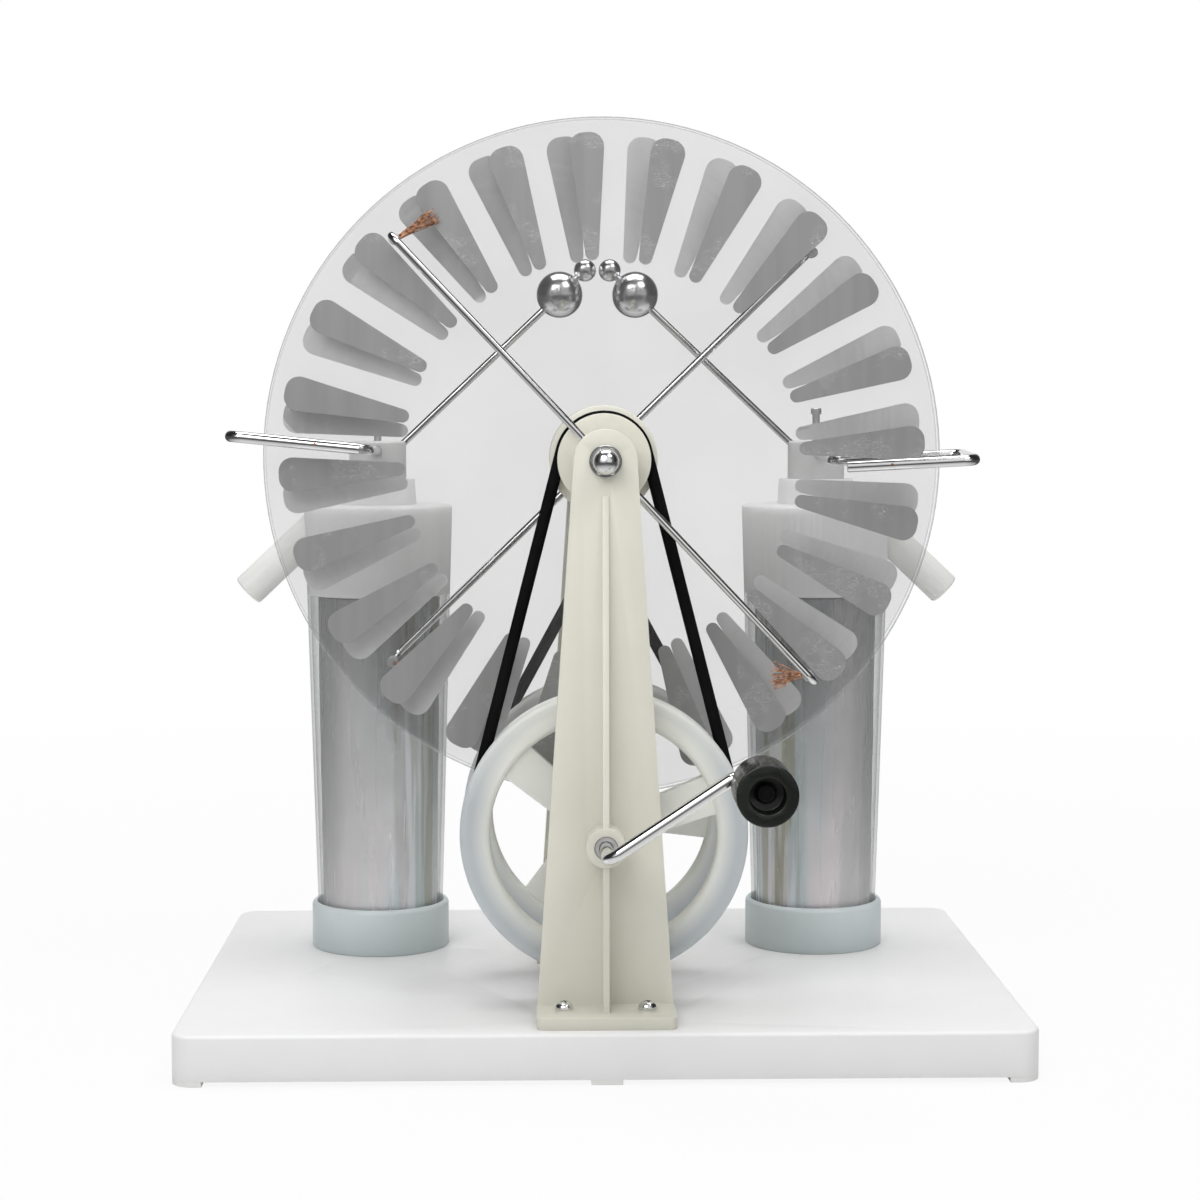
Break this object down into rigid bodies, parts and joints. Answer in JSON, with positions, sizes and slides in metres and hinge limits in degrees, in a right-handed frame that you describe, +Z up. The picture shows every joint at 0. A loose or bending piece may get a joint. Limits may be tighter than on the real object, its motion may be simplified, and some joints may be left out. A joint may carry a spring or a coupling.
{
  "type": "electrostatic generator",
  "caption": "Hand-cranked electrostatic generator with counter-rotating clear discs bearing foil sectors, belt drive, neutralizer brushes, collecting rods, Leyden jars and a spark gap.",
  "frame": {"origin": "on the table, under the middle of the object's bounding box", "axes": "+X to the right seen from the crank's side, +Y from the crank towards the jars, +Z up"},
  "size_m": [0.33, 0.28, 0.3701],
  "materials": {
    "white_board": "white laminate with softened edges",
    "foot_rubber": "pale grey pads",
    "cream_plastic": "cream moulding",
    "milky_plastic": "bluish white moulding",
    "cap_plastic": "milky moulding",
    "white_grip": "white insulating grip",
    "dark_plastic": "dark grey grip",
    "clear_acrylic": "clear and polished",
    "clear_cup": "clear moulded cup",
    "foil": "dull grey foil",
    "bright_steel": "plated and bright",
    "dark_steel": "dark screws",
    "copper": "copper-coloured tinsel and points",
    "belt_rubber": "round black belt"
  },
  "bodies": {
    "stand": {"base_board": "white_board", "feet": "foot_rubber", "front_upright": "cream_plastic", "rear_upright": "cream_plastic", "upright_screws": "bright_steel", "spindle": "bright_steel", "spindle_washers": "bright_steel", "spindle_nuts": "bright_steel", "crank_bushes": "bright_steel", "front_belt": "belt_rubber", "rear_belt": "belt_rubber", "jar_screws": "bright_steel", "left_jar_seat": "milky_plastic", "left_outer_cup": "clear_cup", "left_outer_foil": "foil", "left_inner_jar": "clear_cup", "left_inner_foil": "foil", "left_jar_cap": "cap_plastic", "left_terminal_block": "cap_plastic", "left_clamp_screw": "bright_steel", "left_contact_rod": "bright_steel", "left_collector": "bright_steel", "left_needles": "copper", "right_jar_seat": "milky_plastic", "right_outer_cup": "clear_cup", "right_outer_foil": "foil", "right_inner_jar": "clear_cup", "right_inner_foil": "foil", "right_jar_cap": "cap_plastic", "right_terminal_block": "cap_plastic", "right_clamp_screw": "bright_steel", "right_contact_rod": "bright_steel", "right_collector": "bright_steel", "right_needles": "copper"},
    "crank": {"crank_rod": "bright_steel", "front_drive_wheel": "milky_plastic", "rear_drive_wheel": "milky_plastic", "wheel_set_screws": "dark_steel", "handle_screw": "dark_steel"},
    "handle": {"crank_handle": "dark_plastic"},
    "front_disc": {"front_disc": "clear_acrylic", "front_sectors": "foil", "front_pulley": "cream_plastic"},
    "rear_disc": {"rear_disc": "clear_acrylic", "rear_sectors": "foil", "rear_pulley": "cream_plastic"},
    "front_neutralizer": {"front_neutralizer_collar": "milky_plastic", "front_neutralizer_rods": "bright_steel", "front_brushes": "copper"},
    "rear_neutralizer": {"rear_neutralizer_collar": "milky_plastic", "rear_neutralizer_rods": "bright_steel", "rear_brushes": "copper"},
    "left_discharger": {"left_discharger_rod": "bright_steel", "left_discharger_balls": "bright_steel", "left_discharger_handle": "white_grip"},
    "right_discharger": {"right_discharger_rod": "bright_steel", "right_discharger_balls": "bright_steel", "right_discharger_handle": "white_grip"}
  },
  "joints": [
    {"name": "crank_spin", "type": "hinge", "parent": "stand", "child": "crank", "pos_m": [0, -0.019, 0.0872], "axis": [0, 1, 0], "continuous": true},
    {"name": "handle_spin", "type": "hinge", "parent": "crank", "child": "handle", "pos_m": [0.05654, -0.1265, 0.11588], "axis": [0, 1, 0], "continuous": true},
    {"name": "front_disc_spin", "type": "hinge", "parent": "stand", "child": "front_disc", "pos_m": [0, -0.019, 0.2346], "axis": [0, 1, 0], "continuous": true},
    {"name": "rear_disc_spin", "type": "hinge", "parent": "stand", "child": "rear_disc", "pos_m": [0, -0.019, 0.2346], "axis": [0, 1, 0], "continuous": true},
    {"name": "front_neutralizer_swing", "type": "hinge", "parent": "stand", "child": "front_neutralizer", "pos_m": [0, -0.019, 0.2346], "axis": [0, 1, 0], "range_deg": [-15, 15]},
    {"name": "rear_neutralizer_swing", "type": "hinge", "parent": "stand", "child": "rear_neutralizer", "pos_m": [0, -0.019, 0.2346], "axis": [0, 1, 0], "range_deg": [-15, 15]},
    {"name": "left_discharger_slide", "type": "slide", "parent": "stand", "child": "left_discharger", "axis": [-0.7266, 0, -0.6871], "range_m": [0, 0.045]},
    {"name": "right_discharger_slide", "type": "slide", "parent": "stand", "child": "right_discharger", "axis": [0.7266, 0, -0.6871], "range_m": [0, 0.045]}
  ],
  "couplings": [
    {"joint": "front_disc_spin", "follows": "crank_spin", "ratio": 3.1471},
    {"joint": "rear_disc_spin", "follows": "crank_spin", "ratio": -3.1471}
  ]
}
